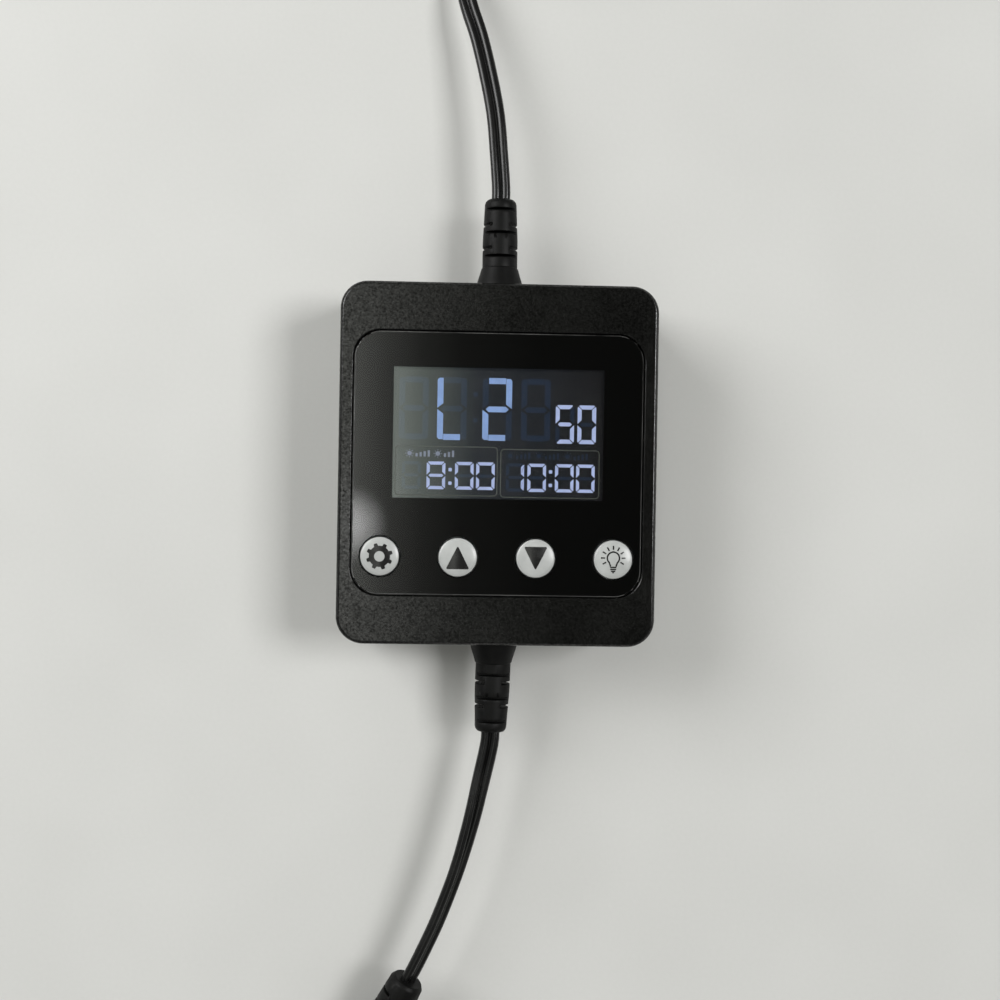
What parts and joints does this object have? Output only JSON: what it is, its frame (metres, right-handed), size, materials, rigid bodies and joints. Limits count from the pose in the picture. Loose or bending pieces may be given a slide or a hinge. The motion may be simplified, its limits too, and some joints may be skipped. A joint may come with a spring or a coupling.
{
  "type": "aquarium light controller",
  "caption": "Flat rectangular in-line aquarium light controller with glossy display panel, round push buttons, ribbed strain reliefs and low-voltage leads with coaxial connectors.",
  "frame": {"origin": "middle of the housing's back face, on the surface it lies on", "axes": "+Z out of the front panel, +Y towards the lamp lead's end, +X to the right when reading the display"},
  "size_m": [0.0644, 0.3425, 0.0207],
  "materials": {
    "housing_plastic": "fine spark-eroded texture, satin black",
    "panel_acrylic": "polished smoked acrylic",
    "panel_ink": "black back print",
    "adhesive_film": "thin transfer tape",
    "button_plastic": "silver-grey gloss with black printed icons",
    "switch_plastic": "moulded black",
    "steel": "tinned",
    "screw_steel": "zinc plated",
    "polariser_film": "dark film",
    "lcd_glass": "clear",
    "light_guide": "clear acrylic",
    "white_film": "white",
    "led_white": "lens over white chip",
    "white_plastic": "moulded white",
    "board_green": "green solder mask",
    "chip_black": "moulded epoxy",
    "can_aluminium": "satin can",
    "chip_ceramic": "tan ceramic",
    "wire_red": "PVC insulation",
    "wire_black": "PVC insulation",
    "lead_pvc": "black PVC, semi-gloss",
    "relief_pvc": "moulded black PVC",
    "tie_nylon": "black nylon",
    "nickel": "nickel plated",
    "insulator_plastic": "moulded black"
  },
  "bodies": {
    "case": {"front_cover": "housing_plastic", "back_cover": "housing_plastic", "case_screws": "screw_steel", "front_panel": "panel_acrylic", "panel_print": "panel_ink", "panel_adhesive": "adhesive_film", "switch_bodies": "switch_plastic", "switch_covers": "steel", "switch_domes": "steel", "switch_terminals": "steel", "lcd_polariser_front": "polariser_film", "lcd_glass_front": "lcd_glass", "lcd_glass_rear": "lcd_glass", "lcd_polariser_rear": "polariser_film", "lcd_light_guide": "light_guide", "lcd_reflector": "white_film", "lcd_leds": "led_white", "lcd_holder": "white_plastic", "lcd_pins": "steel", "main_board": "board_green", "board_screws": "screw_steel", "microcontroller": "chip_black", "clock_cell": "steel", "cell_holder": "switch_plastic", "clock_crystal": "steel", "input_capacitor": "can_aluminium", "power_inductor": "chip_black", "dimmer_mosfets": "chip_black", "voltage_regulator": "chip_black", "input_diode": "chip_black", "chip_resistors": "chip_black", "chip_capacitors": "chip_ceramic", "input_wire_positive": "wire_red", "input_wire_negative": "wire_black", "output_wire_positive": "wire_red", "output_wire_negative": "wire_black", "input_relief": "relief_pvc", "output_relief": "relief_pvc", "input_lead": "lead_pvc", "output_lead": "lead_pvc", "output_lead_coil": "lead_pvc", "output_lead_tail": "lead_pvc", "coil_tie": "tie_nylon", "output_plug_grip": "relief_pvc", "output_plug_barrel": "nickel", "output_plug_insulator": "insulator_plastic", "output_plug_contact": "nickel", "input_socket_grip": "relief_pvc", "input_socket_insulator": "insulator_plastic", "input_socket_sleeve": "nickel", "input_socket_pin": "nickel"},
    "set_button": {"set_button_cap": "button_plastic", "set_plunger": "switch_plastic"},
    "up_button": {"up_button_cap": "button_plastic", "up_plunger": "switch_plastic"},
    "down_button": {"down_button_cap": "button_plastic", "down_plunger": "switch_plastic"},
    "light_button": {"light_button_cap": "button_plastic", "light_plunger": "switch_plastic"}
  },
  "joints": [
    {"name": "set_button_press", "type": "slide", "parent": "case", "child": "set_button", "axis": [0, 0, -1], "range_m": [0, 0.0003], "stiffness_N_per_m": 4000, "springref_m": -0.0001},
    {"name": "up_button_press", "type": "slide", "parent": "case", "child": "up_button", "axis": [0, 0, -1], "range_m": [0, 0.0003], "stiffness_N_per_m": 4000, "springref_m": -0.0001},
    {"name": "down_button_press", "type": "slide", "parent": "case", "child": "down_button", "axis": [0, 0, -1], "range_m": [0, 0.0003], "stiffness_N_per_m": 4000, "springref_m": -0.0001},
    {"name": "light_button_press", "type": "slide", "parent": "case", "child": "light_button", "axis": [0, 0, -1], "range_m": [0, 0.0003], "stiffness_N_per_m": 4000, "springref_m": -0.0001}
  ]
}
